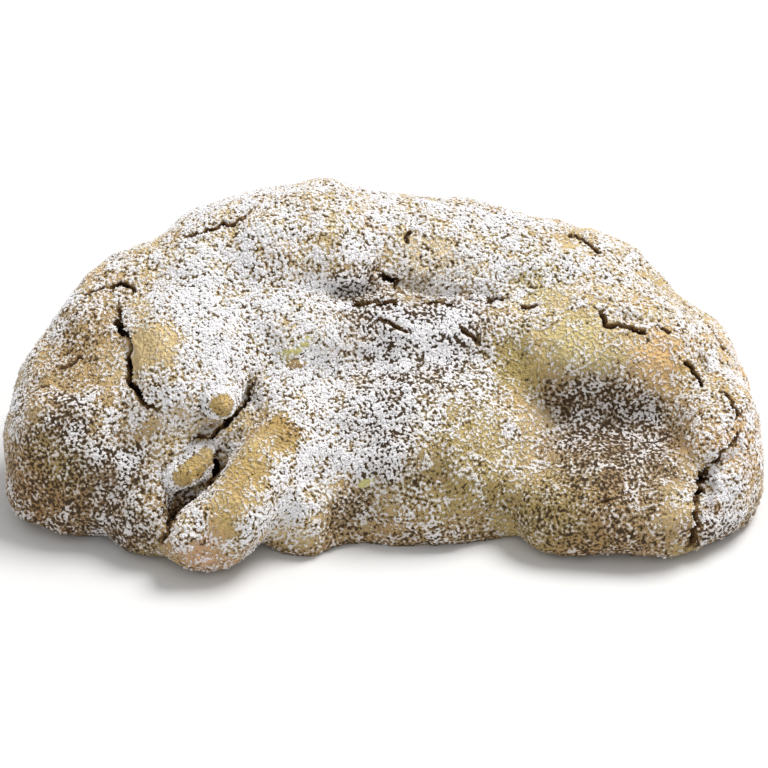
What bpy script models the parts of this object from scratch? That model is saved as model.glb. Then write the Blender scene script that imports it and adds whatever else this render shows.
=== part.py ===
"""Pistachio paste cookie: one lump of almond and pistachio dough, squeezed by hand and baked.

The solid is made the way a pastry cook makes the cookie. Rolled sausages and balls of dough
are pushed into one lump, fingers press hollows into it, its foot rounds off on the tray,
the skin puckers, nubs of nut stand up, and the crust splits in the oven.
Lengths in the tables are millimetres. +X runs along the cookie, +Y to its back and +Z up.
The origin is the middle of the cookie's length and depth, on the tray.
"""

import math

import bmesh
import bpy
import numpy as np
from mathutils import Matrix, Vector, noise
from mathutils.bvhtree import BVHTree

MM = 0.001

# Driving sizes
LENGTH = 68.0
DEPTH = 38.6
HEIGHT = 22.8
FOOT_RADIUS = 1.6  # rounding where the side meets the tray
FOOT_SINK = 0.25  # the arc is cut this far above its foot, so the side meets the tray at an angle
LUMP_TRIANGLES = 12500  # before the last cut, which takes about a thousand away

# How finely the dough is worked before it is made light
WORK_VOXEL = 0.4
KNEAD_STEPS = 30
KNEAD_FORCE = 0.5
STATION_STEP = 1.5
UNDERSIDE = -0.6  # dough kept under the tray's level until the last cut
CUT_SNAP = 0.15  # a point this near to a cut is moved onto it
CRACK_STEP = 0.6

# How a crack runs, in half-widths of the crack
RAGGED = 0.5  # how far it strays from its path
RAGGED_SEED = 17  # fixed, so that it strays the same way in every run
WALL = 1.4  # where its wall reaches the skin
LIP = 2.2  # where its lip stands highest
FADE = 1.6  # how soon it is at full depth from its ends; 1 is at the middle only

# Rolled sausages of dough: half-length of a ball, then stations of
# x, y, z, half-depth and half-height.
SAUSAGES = {
    "bun": (8.0, [
        (-25.5, -5.0, 4.5, 9.0, 9.5),
        (-18.0, 2.0, 4.5, 12.5, 12.0),
        (-8.0, 4.5, 4.5, 13.0, 11.0),
        (4.0, 6.0, 4.0, 12.0, 9.0),
        (15.0, 4.5, 4.0, 12.0, 7.0),
        (25.0, 0.0, 4.0, 10.5, 7.0),
    ]),
    "back": (6.0, [
        (-22.5, 1.0, 7.0, 7.5, 8.5),
        (-14.0, 7.5, 9.5, 9.0, 10.0),
        (0.0, 9.5, 9.0, 8.5, 9.5),
        (14.0, 8.0, 8.0, 8.5, 9.0),
        (24.5, 2.3, 6.8, 7.3, 7.3),
    ]),
    "ridge": (5.0, [
        (-27.5, -2.6, 8.6, 5.0, 5.2),
        (-23.0, 2.1, 11.1, 6.2, 6.2),
        (-17.0, 5.8, 13.0, 6.8, 6.8),
        (-9.0, 8.0, 15.3, 7.5, 7.5),
        (0.0, 9.0, 13.5, 7.0, 7.0),
        (9.0, 9.0, 12.6, 6.8, 6.8),
        (17.0, 7.8, 11.3, 6.7, 6.7),
        (22.5, 3.7, 9.0, 6.0, 6.0),
        (26.0, 0.9, 8.4, 4.9, 5.0),
    ]),
    "nose": (3.6, [
        (-7.6, -0.5, 11.0, 3.8, 4.0),
        (-8.5, -4.7, 9.3, 4.0, 4.0),
        (-9.6, -8.3, 7.5, 4.0, 4.2),
        (-11.0, -11.2, 6.3, 4.0, 4.2),
        (-12.6, -14.0, 5.0, 3.8, 4.0),
        (-14.3, -15.8, 3.8, 3.6, 3.7),
        (-15.8, -16.4, 3.2, 3.2, 3.3),
    ]),
}

# Balls of dough pushed on: name, centre, half-axes and turn about Z in degrees.
BALLS = [
    ("left_block", (-17.5, -0.5, 6.5), (10.0, 11.5, 11.8), 10.0),
    ("shoulder", (-16.2, 3.0, 9.0), (9.0, 9.0, 10.2), 0.0),
    ("tan_lobe", (-19.0, -4.5, 8.5), (5.5, 7.5, 8.5), 0.0),
    ("left_lobe", (-26.8, -6.2, 4.0), (7.0, 7.8, 9.5), 0.0),
    ("upper_right", (19.6, 0.5, 10.0), (10.4, 7.4, 6.3), -6.0),
    ("right_foot", (20.8, -10.8, 3.0), (11.1, 6.9, 5.2), 4.0),
    ("far_right", (28.8, -6.3, 4.0), (4.8, 8.2, 8.0), 0.0),
    ("apron", (1.7, -3.1, -1.0), (19.3, 12.3, 13.5), 0.0),
    ("shelf", (3.0, 2.0, 8.0), (15.0, 6.5, 8.3), 0.0),
    ("saddle", (-9.5, 1.5, 10.0), (9.0, 7.5, 7.5), 0.0),
    ("right_saddle", (15.5, 0.5, 8.5), (8.0, 6.5, 7.0), 0.0),
    ("nose_flank", (-7.5, -8.0, -2.0), (6.0, 9.0, 9.5), 0.0),
    ("left_front", (-19.0, -6.5, 3.5), (8.5, 8.3, 10.0), 0.0),
    ("right_fill", (20.0, -5.2, 4.0), (10.5, 7.5, 4.9), 0.0),
    ("second_lobe", (-20.0, -11.0, 2.0), (4.5, 5.9, 6.5), 0.0),
]

# Presses of a finger: name, ends of the press, radius, depth and the way the finger pushes.
PRESSES = [
    ("under_ridge", (-4.0, 2.5, 16.6), (9.0, 2.2, 16.2), 1.8, 0.6, (0.0, 0.6, -0.8)),
    ("right_hollow", (15.0, -7.0, 10.0), (25.0, -8.5, 9.0), 2.2, 0.8, (0.0, 0.75, -0.66)),
    ("beside_nose", (-2.5, -10.5, 9.0), (-1.5, -14.0, 2.0), 2.4, 0.9, (0.3, 0.9, 0.0)),
    ("nose_crease", (-12.6, -8.8, 12.0), (-16.5, -14.5, 6.5), 1.6, 2.0, (0.3, 0.6, -0.7)),
]

# Nubs of dough and nut that stand up: name, place, radius and height.
NUBS = [
    ("round_nub", (-14.4, -9.6, 12.4), 1.5, 1.3),
    ("long_nub", (-17.2, -12.4, 7.6), 1.9, 1.3),
    ("low_nub", (-20.6, -14.8, 4.3), 1.8, 0.6),
]

# Splits of the crust: half-width, depth, lift of the lips, and the path.
CRACKS = {
    "left_split": (0.38, 1.2, 0.2, [
        (-23.5, 1.5, 16.5), (-23.5, -1.5, 15.5), (-22.4, -3.9, 14.8), (-22.0, -6.0, 14.2),
        (-21.6, -7.7, 13.7), (-21.0, -9.3, 13.0), (-19.0, -10.4, 12.0)]),
    "left_cap": (0.4, 0.8, 0.1, [
        (-24.2, 1.3, 17.0), (-23.4, 1.6, 16.6), (-22.1, 0.6, 17.2)]),
    "left_fold": (0.4, 0.8, 0.15, [
        (-29.0, -4.5, 12.7), (-27.5, -4.2, 13.2), (-26.5, -4.0, 13.7)]),
    "left_edge": (0.45, 0.9, 0.2, [
        (-32.8, -7.7, 9.0), (-31.5, -6.6, 11.2), (-29.5, -5.5, 12.0)]),
    "nose_split": (0.55, 2.0, 0.2, [
        (-11.5, -5.6, 12.6), (-12.2, -7.6, 11.0), (-13.4, -8.9, 10.2),
        (-15.0, -10.2, 9.8), (-16.9, -11.2, 10.0)]),
    "nose_side": (0.7, 1.8, 0.2, [
        (-14.3, -9.9, 8.4), (-14.6, -11.2, 6.6), (-15.0, -13.0, 6.2),
        (-18.0, -14.5, 4.8), (-18.4, -17.4, 4.4), (-18.9, -17.7, 3.0)]),
    "ridge_crease": (0.55, 1.3, 0.2, [
        (-0.8, 3.0, 17.6), (1.0, 2.9, 16.4), (3.2, 2.6, 15.6), (7.7, 2.0, 15.4), (11.8, 2.7, 15.2)]),
    "ridge_fold": (0.6, 0.9, 0.1, [
        (-5.7, 0.2, 16.8), (-3.5, 2.0, 16.2), (0.1, 2.0, 15.4)]),
    "right_split": (0.45, 1.2, 0.2, [
        (19.4, 0.0, 16.6), (19.6, -1.4, 15.6), (21.5, -1.6, 15.1), (23.5, -2.3, 14.9)]),
    "right_shoulder": (0.4, 0.9, 0.15, [
        (26.5, -2.6, 12.5), (27.5, -2.9, 11.3), (28.7, -5.2, 11.4)]),
    "right_rim": (0.4, 0.8, 0.15, [
        (29.8, -5.2, 11.3), (30.4, -7.8, 11.4), (30.9, -9.0, 10.9)]),
    "right_end_split": (0.55, 2.0, 0.3, [
        (30.7, -10.1, 9.4), (29.8, -10.8, 7.8), (28.4, -11.4, 6.6),
        (27.6, -13.5, 6.2), (27.9, -15.5, 4.8), (26.8, -16.3, 2.8)]),
    "top_left_split": (0.4, 0.9, 0.2, [
        (-10.9, 7.7, 22.2), (-13.3, 5.9, 21.4), (-16.0, 4.5, 21.2), (-18.7, 4.6, 20.6)]),
    "top_right_split": (0.4, 0.8, 0.15, [
        (16.6, 9.5, 18.0), (17.9, 7.3, 18.5), (20.0, 6.0, 18.1)]),
    "back_split": (0.5, 1.3, 0.25, [
        (-6.0, 16.5, 12.0), (-2.5, 17.5, 10.0), (0.5, 17.5, 9.0), (3.0, 17.5, 10.0), (8.0, 17.0, 8.0)]),
    "back_fold": (0.4, 0.8, 0.15, [
        (-20.0, 13.5, 10.0), (-17.0, 15.0, 7.5), (-15.5, 16.0, 4.5)]),
}

# Puckers of the skin: wavelength, height and the noise's own place.
PUCKERS = [
    (9.0, 0.84, (0.0, 5.0, 3.0)),
    (4.5, 0.56, (17.0, 5.0, 3.0)),
    (2.4, 0.28, (34.0, 5.0, 3.0)),
]


def smooth_path(points, step):
    """Rows of numbers, filled in along a smooth curve through them about a step apart."""
    rows = np.array(points, float)
    rows = np.vstack([2 * rows[0] - rows[1], rows, 2 * rows[-1] - rows[-2]])
    filled = []
    for k in range(1, len(rows) - 2):
        before, here, there, after = rows[k - 1:k + 3]
        count = max(2, round(np.linalg.norm((there - here)[:3]) / step))
        for t in np.arange(count) / count:
            slope = (there - before) * t
            bend = (2 * before - 5 * here + 4 * there - after) * t ** 2
            twist = (3 * here - before - 3 * there + after) * t ** 3
            filled.append(here + (slope + bend + twist) / 2)
    return np.array(filled + [rows[-2]])


def add_ball(bm, centre, half_axes, turn=0.0, subdivisions=4):
    """A ball of dough: an icosphere stretched to its half-axes and turned about Z."""
    spin = Matrix.Rotation(math.radians(turn), 4, "Z")
    place = Matrix.Translation(Vector(centre)) @ spin @ Matrix.Diagonal((*half_axes, 1.0))
    bmesh.ops.create_icosphere(bm, subdivisions=subdivisions, radius=1.0, matrix=place)


def add_sausage(bm, half_length, stations):
    """A rolled sausage of dough: balls that follow its stations closely."""
    for x, y, z, half_depth, half_height in smooth_path(stations, STATION_STEP):
        add_ball(bm, (x, y, z), (half_length, half_depth, half_height))


def make_object(name, bm):
    mesh = bpy.data.meshes.new(name)
    bm.to_mesh(mesh)
    bm.free()
    obj = bpy.data.objects.new(name, mesh)
    bpy.context.scene.collection.objects.link(obj)
    return obj


def apply_modifiers(obj):
    """Puts the shape that the modifiers make into the object's own mesh."""
    graph = bpy.context.evaluated_depsgraph_get()
    graph.update()
    mesh = bpy.data.meshes.new_from_object(obj.evaluated_get(graph))
    obj.modifiers.clear()
    obj.data = mesh


def push_together(name):
    """All the dough as one closed lump, with soft valleys where the pieces meet."""
    bm = bmesh.new()
    for half_length, stations in SAUSAGES.values():
        add_sausage(bm, half_length, stations)
    for _, centre, half_axes, turn in BALLS:
        add_ball(bm, centre, half_axes, turn, subdivisions=5)
    obj = make_object(name, bm)
    weld = obj.modifiers.new("one_lump", "REMESH")
    weld.mode = "VOXEL"
    weld.voxel_size = WORK_VOXEL
    knead = obj.modifiers.new("knead", "SMOOTH")
    knead.factor = KNEAD_FORCE
    knead.iterations = KNEAD_STEPS
    apply_modifiers(obj)
    return obj


def points_and_normals(mesh):
    """The mesh's points and their normals, as two tables of numbers."""
    points = np.empty(len(mesh.vertices) * 3, np.float32)
    mesh.vertices.foreach_get("co", points)
    normals = np.empty(len(mesh.vertices) * 3, np.float32)
    mesh.vertex_normals.foreach_get("vector", normals)
    return points.reshape(-1, 3).astype(float), normals.reshape(-1, 3).astype(float)


def put_points(mesh, points):
    """Moves the mesh's points to the places in a table."""
    mesh.vertices.foreach_set("co", points.astype(np.float32).ravel())
    mesh.update()


def distance_to_path(points, path):
    """Each point's distance to a path of short straight runs, and how far along it, 0 to 1."""
    nearest = np.full(len(points), np.inf)
    along = np.zeros(len(points))
    for k, (start, end) in enumerate(zip(path[:-1], path[1:])):
        run = end - start
        t = np.clip((points - start) @ run / max(run @ run, 1e-12), 0.0, 1.0)
        gap = np.linalg.norm(points - start - t[:, None] * run, axis=1)
        closer = gap < nearest
        nearest[closer] = gap[closer]
        along[closer] = (k + t[closer]) / (len(path) - 1)
    return nearest, along


def press_fingers(mesh):
    """Pushes the dough in along each press, most in the middle of the finger's track."""
    for _, start, end, radius, depth, way in PRESSES:
        points, _ = points_and_normals(mesh)
        gap, _ = distance_to_path(points, np.array([start, end], float))
        push = np.array(Vector(way).normalized())
        points += np.exp(-(gap / radius) ** 2)[:, None] * depth * push
        put_points(mesh, points)


def pucker(mesh):
    """Uneven skin: a few sizes of soft noise along the normals, each from its own place."""
    points, normals = points_and_normals(mesh)
    for wavelength, height, place in PUCKERS:
        waves = [noise.noise(Vector(p) / wavelength + Vector(place)) for p in points]
        points += normals * (np.array(waves) * height)[:, None]
    put_points(mesh, points)


def raise_nubs(mesh):
    """Lifts the skin over each nub, steep at its edge and nearly level on top."""
    for _, place, radius, height in NUBS:
        points, normals = points_and_normals(mesh)
        gap = np.linalg.norm(points - np.array(place), axis=1)
        points += normals * (height * np.exp(-(gap / radius) ** 4))[:, None]
        put_points(mesh, points)


def split_crust(mesh):
    """Cracks: a groove that follows a ragged path on the skin, between two raised lips."""
    noise.seed_set(RAGGED_SEED)
    skin = BVHTree.FromPolygons([v.co for v in mesh.vertices], [p.vertices for p in mesh.polygons])
    for half_width, depth, lift, corners in CRACKS.values():
        path = smooth_path(corners, CRACK_STEP)
        stray = RAGGED * half_width
        ragged = [Vector(p) + stray * noise.noise_vector(Vector(p)) for p in path]
        path = np.array([skin.find_nearest(p)[0] for p in ragged])
        points, normals = points_and_normals(mesh)
        gap, along = distance_to_path(points, path)
        taper = np.clip(np.sin(np.pi * along) * FADE, 0.0, 1.0)
        groove = depth * np.clip(1.0 - gap / (WALL * half_width), 0.0, 1.0)
        lips = lift * np.exp(-(gap / half_width - LIP) ** 2)
        points += normals * ((lips - groove) * taper)[:, None]
        put_points(mesh, points)


def round_foot(mesh):
    """Pulls the side in near the tray, on an arc, so the edge of the base is round."""
    points, normals = points_and_normals(mesh)
    rise = np.clip(points[:, 2] + FOOT_SINK, 0.0, FOOT_RADIUS)
    inset = FOOT_RADIUS - np.sqrt(FOOT_RADIUS ** 2 - (FOOT_RADIUS - rise) ** 2)
    outward = normals[:, :2] / np.maximum(np.linalg.norm(normals[:, :2], axis=1), 0.3)[:, None]
    points[:, :2] -= outward * inset[:, None]
    put_points(mesh, points)


def cut_under(mesh, level, close=False):
    """Cuts away what lies under a level, and closes the cut flat if asked."""
    bm = bmesh.new()
    bm.from_mesh(mesh)
    everything = bm.verts[:] + bm.edges[:] + bm.faces[:]
    cut = bmesh.ops.bisect_plane(
        bm, geom=everything, dist=CUT_SNAP, plane_co=(0, 0, level), plane_no=(0, 0, 1),
        use_snap_center=True, clear_inner=True)
    if close:
        rim = [g for g in cut["geom_cut"] if isinstance(g, bmesh.types.BMEdge)]
        bmesh.ops.edgenet_fill(bm, edges=rim)
        bmesh.ops.triangulate(bm, faces=bm.faces[:])
    bm.to_mesh(mesh)
    bm.free()


def lighten(obj):
    """Fewer triangles, most of them kept at the cracks and folds."""
    obj.data.calc_loop_triangles()
    light = obj.modifiers.new("lighten", "DECIMATE")
    light.ratio = LUMP_TRIANGLES / len(obj.data.loop_triangles)
    light.use_collapse_triangulate = True
    apply_modifiers(obj)


def fit_to_size(mesh):
    """Centres the cookie over the origin and brings it to its driving sizes, in metres."""
    points, _ = points_and_normals(mesh)
    low, high = points.min(0), points.max(0)
    points -= np.array([(low[0] + high[0]) / 2, (low[1] + high[1]) / 2, low[2]])
    points *= np.array([LENGTH, DEPTH, HEIGHT]) / (high - low) * MM
    put_points(mesh, points)


def crust_material():
    material = bpy.data.materials.new("sugared_crust")
    material.use_nodes = True
    shader = material.node_tree.nodes["Principled BSDF"]
    shader.inputs["Base Color"].default_value = (0.62, 0.50, 0.33, 1.0)
    shader.inputs["Roughness"].default_value = 0.85
    return material


def main():
    for old in list(bpy.data.objects):
        bpy.data.objects.remove(old)
    cookie = push_together("cookie")
    press_fingers(cookie.data)
    pucker(cookie.data)
    raise_nubs(cookie.data)
    split_crust(cookie.data)
    round_foot(cookie.data)
    cut_under(cookie.data, UNDERSIDE)
    lighten(cookie)
    cut_under(cookie.data, 0.0, close=True)
    fit_to_size(cookie.data)
    cookie.data.shade_smooth()
    cookie.data.materials.append(crust_material())


main()
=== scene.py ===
# %% [markdown]
# # A pistachio paste cookie under icing sugar
#
# The cookie is one lump of almond and pistachio dough, squeezed between the fingers, rolled in icing sugar
# and baked until its skin splits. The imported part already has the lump: its ridge, its hollows, its folded
# nose and its large cracks. This script adds what the eye sees from close up: a finer skin, ragged cracks,
# a crust of sugar with bare patches of dough, grains that stand on it, and bits of nut.

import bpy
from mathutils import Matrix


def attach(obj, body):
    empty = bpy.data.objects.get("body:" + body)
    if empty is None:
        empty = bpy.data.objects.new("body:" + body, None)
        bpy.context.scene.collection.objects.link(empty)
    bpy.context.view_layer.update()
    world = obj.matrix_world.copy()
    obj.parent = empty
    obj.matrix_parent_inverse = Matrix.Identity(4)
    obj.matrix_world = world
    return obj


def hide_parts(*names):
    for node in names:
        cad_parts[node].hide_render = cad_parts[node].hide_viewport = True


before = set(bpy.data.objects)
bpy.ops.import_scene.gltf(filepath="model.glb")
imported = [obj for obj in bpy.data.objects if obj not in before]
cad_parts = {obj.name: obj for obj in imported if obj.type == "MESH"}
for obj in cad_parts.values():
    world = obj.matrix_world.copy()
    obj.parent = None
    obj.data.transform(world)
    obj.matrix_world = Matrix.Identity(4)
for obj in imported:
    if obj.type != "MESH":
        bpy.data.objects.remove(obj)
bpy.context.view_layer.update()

# %% The rest of the tools
import math

import bmesh
import bpy
import numpy as np
from mathutils import Vector, noise
from mathutils.bvhtree import BVHTree

MM = 0.001
BODY = "root"

# %% [markdown]
# ## The skin
#
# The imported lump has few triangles, too few for a crack half a millimetre wide. Its copy is merged, because
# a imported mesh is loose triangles, and then wrapped in an even net of small squares by a voxel remesh. A
# subdivision would keep the old long triangles, and a sculpt can't be repeated by a script. The net is
# smoothed a little, which rounds off the facets. All the work on the skin is in millimetres.

# %% A close net over the lump
NET = 0.348  # side of a square, mm
FACET_SMOOTHING = 9  # rounds of smoothing
BASE_BAND = 0.2  # what lies lower than this is the base, mm


def apply_modifiers(obj):
    """Puts the shape that the modifiers make into the object's own mesh."""
    graph = bpy.context.evaluated_depsgraph_get()
    graph.update()
    mesh = bpy.data.meshes.new_from_object(obj.evaluated_get(graph))
    obj.modifiers.clear()
    obj.data = mesh


def copy_in_mm(name, node):
    """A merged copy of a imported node, in millimetres."""
    bm = bmesh.new()
    bm.from_mesh(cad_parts[node].data)
    bmesh.ops.remove_doubles(bm, verts=bm.verts[:], dist=1e-6)
    bmesh.ops.scale(bm, vec=(1 / MM, 1 / MM, 1 / MM), verts=bm.verts[:])
    mesh = bpy.data.meshes.new(name)
    bm.to_mesh(mesh)
    bm.free()
    obj = bpy.data.objects.new(name, mesh)
    bpy.context.scene.collection.objects.link(obj)
    return obj


def lay_flat(obj):
    """Brings the lowest points down to the tray, and makes one face of all that lies on it."""
    bm = bmesh.new()
    bm.from_mesh(obj.data)
    for v in bm.verts:
        if v.co.z < BASE_BAND:
            v.co.z = 0.0
    base = [f for f in bm.faces if all(v.co.z == 0.0 for v in f.verts)]
    bmesh.ops.dissolve_faces(bm, faces=base, use_verts=True)
    bm.to_mesh(obj.data)
    bm.free()


skin = copy_in_mm("cookie_skin", "cookie")
net = skin.modifiers.new("net", "REMESH")
net.mode = "VOXEL"
net.voxel_size = NET
round_off = skin.modifiers.new("round_off", "SMOOTH")
round_off.factor = 0.5
round_off.iterations = FACET_SMOOTHING
apply_modifiers(skin)
lay_flat(skin)
print("net over the lump:", len(skin.data.vertices), "points,", len(skin.data.polygons), "faces")

# %% Reading and moving the skin's points


def points_and_normals(mesh):
    points = np.empty(len(mesh.vertices) * 3, np.float32)
    mesh.vertices.foreach_get("co", points)
    normals = np.empty(len(mesh.vertices) * 3, np.float32)
    mesh.vertex_normals.foreach_get("vector", normals)
    return points.reshape(-1, 3).astype(float), normals.reshape(-1, 3).astype(float)


def put_points(mesh, points):
    mesh.vertices.foreach_set("co", points.astype(np.float32).ravel())
    mesh.update()


def ease(edge0, edge1, value):
    """0 below one edge, 1 above the other, and a soft step between them."""
    t = np.clip((value - edge0) / (edge1 - edge0), 0.0, 1.0)
    return t * t * (3.0 - 2.0 * t)


def waves(points, wavelength, place=0.0):
    """Soft noise of one size at each point, about -1 to 1."""
    shift = Vector((place, 2.0 * place, -place))
    return np.array([noise.noise(Vector(p) / wavelength + shift) for p in points])


# %% [markdown]
# ## Where the crust splits
#
# In the oven the sugared skin dries before the inside has risen, so it tears in ragged lines. The packed
# part holds the large ones as shallow grooves. Here each is cut again at its true width, with short turns,
# uneven walls and lips, and the hairline ones are added. A crack is a path through a few places on the
# skin. Extra short turns come from noise, so the table stays small.

# %% The cracks
# Half-width, depth and lift of the lips in mm, and a few places on the path.
CRACKS = {
    "left_split": (0.18, 1.4, 0.10, [
        (-23.5, 0.5, 17.0), (-23.5, -1.5, 15.5), (-22.5, -4.0, 15.0), (-22.5, -6.5, 14.0),
        (-21.5, -9.0, 13.0), (-19.5, -10.5, 12.0)]),
    "left_cap": (0.13, 0.7, 0.06, [(-24.5, 1.0, 17.5), (-23.0, 1.5, 17.5), (-22.0, 0.5, 17.5)]),
    "left_upper": (0.09, 0.5, 0.06, [(-27.0, 1.5, 16.5), (-25.0, 1.5, 17.5)]),
    "left_fold": (0.10, 0.5, 0.06, [(-29.0, -5.0, 13.0), (-26.5, -4.5, 14.0)]),
    "left_edge": (0.14, 0.7, 0.08, [(-33.0, -7.5, 9.0), (-31.5, -7.0, 11.0), (-29.5, -6.5, 12.5)]),
    "nose_split": (0.14, 1.1, 0.05, [
        (-11.5, -5.5, 12.5), (-12.5, -7.0, 10.5), (-14.5, -9.0, 9.5), (-17.0, -11.5, 10.0)]),
    "nose_side": (0.17, 1.0, 0.06, [
        (-14.5, -10.0, 8.0), (-15.0, -10.5, 6.0), (-15.5, -12.5, 5.5), (-18.0, -13.0, 4.0)]),
    "nose_foot": (0.13, 0.6, 0.05, [(-18.0, -13.5, 4.0), (-19.0, -15.0, 3.0), (-19.5, -16.5, 2.5)]),
    "ridge_crease": (0.24, 1.5, 0.06, [
        (-1.0, 3.0, 18.0), (1.0, 3.0, 17.0), (3.5, 2.0, 16.0), (7.0, 2.0, 16.0), (10.0, 2.0, 16.0),
        (11.5, 2.5, 16.0)]),
    "crease_end": (0.14, 0.7, 0.06, [(12.0, 1.5, 15.5), (13.5, 1.0, 15.5)]),
    "ridge_fold": (0.15, 1.0, 0.05, [(-3.0, 0.5, 16.0), (-1.0, 1.0, 16.0), (1.5, 1.0, 16.0)]),
    "ridge_fold_end": (0.15, 1.0, 0.05, [(3.0, 1.0, 16.0), (6.5, 1.0, 16.0)]),
    "shelf_wrinkle": (0.09, 0.5, 0.05, [(-0.5, -1.0, 16.0), (2.5, -3.0, 15.5)]),
    "shelf_hairline": (0.09, 0.5, 0.05, [(6.5, -1.5, 15.5), (8.5, -4.0, 15.0)]),
    "right_split": (0.17, 0.9, 0.10, [
        (19.5, 0.0, 16.5), (19.5, -2.0, 16.0), (21.5, -2.5, 16.0), (23.5, -3.0, 15.5)]),
    "right_nick": (0.10, 0.4, 0.05, [(24.5, -2.0, 15.5), (25.5, -2.5, 15.0)]),
    "right_shoulder": (0.13, 0.7, 0.08, [(26.5, -3.5, 13.0), (27.5, -4.0, 12.0), (28.5, -5.5, 11.5)]),
    "right_rim": (0.11, 0.5, 0.06, [(30.0, -6.0, 12.0), (31.5, -9.0, 10.5)]),
    "right_edge": (0.11, 0.5, 0.06, [(27.5, 4.5, 13.5), (29.5, 1.5, 12.0), (31.0, 0.0, 10.5)]),
    "right_end_split": (0.15, 1.0, 0.10, [
        (31.5, -9.5, 9.5), (29.5, -11.0, 8.0), (28.5, -11.5, 7.5)]),
    "right_end_deep": (0.30, 1.7, 0.12, [
        (28.5, -11.5, 7.5), (28.0, -13.0, 6.0), (27.5, -14.5, 5.5), (27.5, -15.5, 4.0),
        (27.0, -16.5, 2.5), (26.5, -17.0, 1.5)]),
    "top_left_split": (0.10, 0.5, 0.06, [
        (-11.0, 7.0, 22.5), (-13.5, 5.0, 22.0), (-16.0, 4.5, 21.5), (-18.5, 4.5, 20.5)]),
    "top_right_split": (0.12, 0.6, 0.08, [(16.5, 9.5, 18.0), (18.0, 7.5, 18.5), (20.0, 6.0, 18.0)]),
    "top_nick": (0.10, 0.4, 0.05, [(2.5, 6.5, 20.0), (2.0, 5.5, 19.5)]),
    "foot_nick": (0.09, 0.4, 0.05, [(19.0, -15.5, 6.0), (20.0, -15.0, 6.5)]),
    "back_split": (0.18, 1.0, 0.12, [
        (-6.0, 16.5, 12.0), (-2.5, 17.5, 10.0), (0.5, 17.5, 9.0), (3.0, 17.5, 10.0), (8.0, 17.0, 8.0)]),
    "back_hairline": (0.10, 0.5, 0.06, [(12.0, 16.0, 11.0), (14.5, 15.5, 9.0), (15.0, 16.0, 6.0)]),
    "back_end": (0.12, 0.6, 0.08, [(27.0, 12.5, 9.0), (28.5, 12.5, 6.0), (29.0, 12.5, 3.0)]),
    "back_fold": (0.12, 0.6, 0.08, [(-20.0, 13.5, 10.0), (-17.0, 15.0, 7.5), (-15.5, 16.0, 4.5)]),
}
OPEN_SKIN = [name for name in CRACKS if not name.startswith("nose")]

# Nubs of dough squeezed up beside the nose: the two ends of each, its radius and height, in mm.
NUBS = {
    "round_nub": ((-14.5, -10.0, 13.0), (-14.0, -10.5, 13.0), 1.4, 1.0),
    "long_nub": ((-18.0, -13.5, 7.5), (-16.0, -12.0, 8.5), 1.3, 0.9),
}
STEP = 0.18  # between a path's points, mm
STRAY = 0.40  # how far its short turns stray, mm
TURN = 1.1  # length of a short turn, mm
JAG = 0.45  # and of the jags on it, mm
TURNS_SEED = 17  # fixed, so that the turns are the same in every run
BACK_HALF = 12.0  # a crack that starts further back than this is on the back, mm
PUSH_REACH = 4.0  # how far off the skin a place may be, mm


def smooth_path(places, step):
    """Places filled in along a smooth curve through them."""
    rows = np.array(places, float)
    rows = np.vstack([2 * rows[0] - rows[1], rows, 2 * rows[-1] - rows[-2]])
    filled = []
    for k in range(1, len(rows) - 2):
        before, here, there, after = rows[k - 1:k + 3]
        count = max(2, round(np.linalg.norm(there - here) / step))
        for t in np.arange(count) / count:
            slope = (there - before) * t
            bend = (2 * before - 5 * here + 4 * there - after) * t ** 2
            twist = (3 * here - before - 3 * there + after) * t ** 3
            filled.append(here + (slope + bend + twist) / 2)
    return np.array(filled + [rows[-2]])


def path_on_skin(places, tree):
    """A crack's path with its short turns, laid on the skin.

    Where the skin faces the front or back squarely, a point is pushed straight in from there, so that
    it can't slip into a fold. Where the skin turns away, a point goes to the nearest skin.
    """
    from_front = places[0][1] < BACK_HALF
    push = Vector((0.0, 0.8 if from_front else -0.8, -0.6))
    path = []
    for place in smooth_path(places, STEP):
        here = Vector(place)
        here += STRAY * (noise.noise_vector(here / TURN) + 0.6 * noise.noise_vector(here / JAG))
        nearest, normal = tree.find_nearest(here)[:2]
        met = tree.ray_cast(here - push * PUSH_REACH, push, 2 * PUSH_REACH)[0] or nearest
        square = float(ease(0.4, 0.7, -normal.dot(push)))
        path.append(tree.find_nearest(nearest.lerp(met, square))[0])
    return np.array(path)


def tree_of(mesh):
    return BVHTree.FromPolygons([v.co for v in mesh.vertices], [p.vertices for p in mesh.polygons])


def lay_cracks(mesh):
    """Every crack's path on the skin as it is now."""
    tree = tree_of(mesh)
    noise.seed_set(TURNS_SEED)
    return {name: path_on_skin(row[3], tree) for name, row in CRACKS.items()}


paths = lay_cracks(skin.data)
lengths = {name: np.linalg.norm(np.diff(path, axis=0), axis=1).sum() for name, path in paths.items()}
print("cracks:", len(paths), "with", round(sum(lengths.values())), "mm in all")

# %% [markdown]
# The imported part's grooves are wide, as its triangles are large. Where a crack lies in the open skin, the
# groove is first eased out, so that only the narrow crack is left. Then the net is cut finer along the
# paths and on the nubs: the squares near a path are found, and each is divided in four.

# %% Ease the wide grooves, then a finer net
HEAL_REACH = 1.5  # mm from a path
HEAL_TIMES = 50  # rounds of smoothing
NUB_REACH = 1.9  # how far from a nub's middle the net is cut finer, mm
WIDE_REACH = 0.9  # and from a path, once
CLOSE_REACH = 0.45  # and twice


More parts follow.
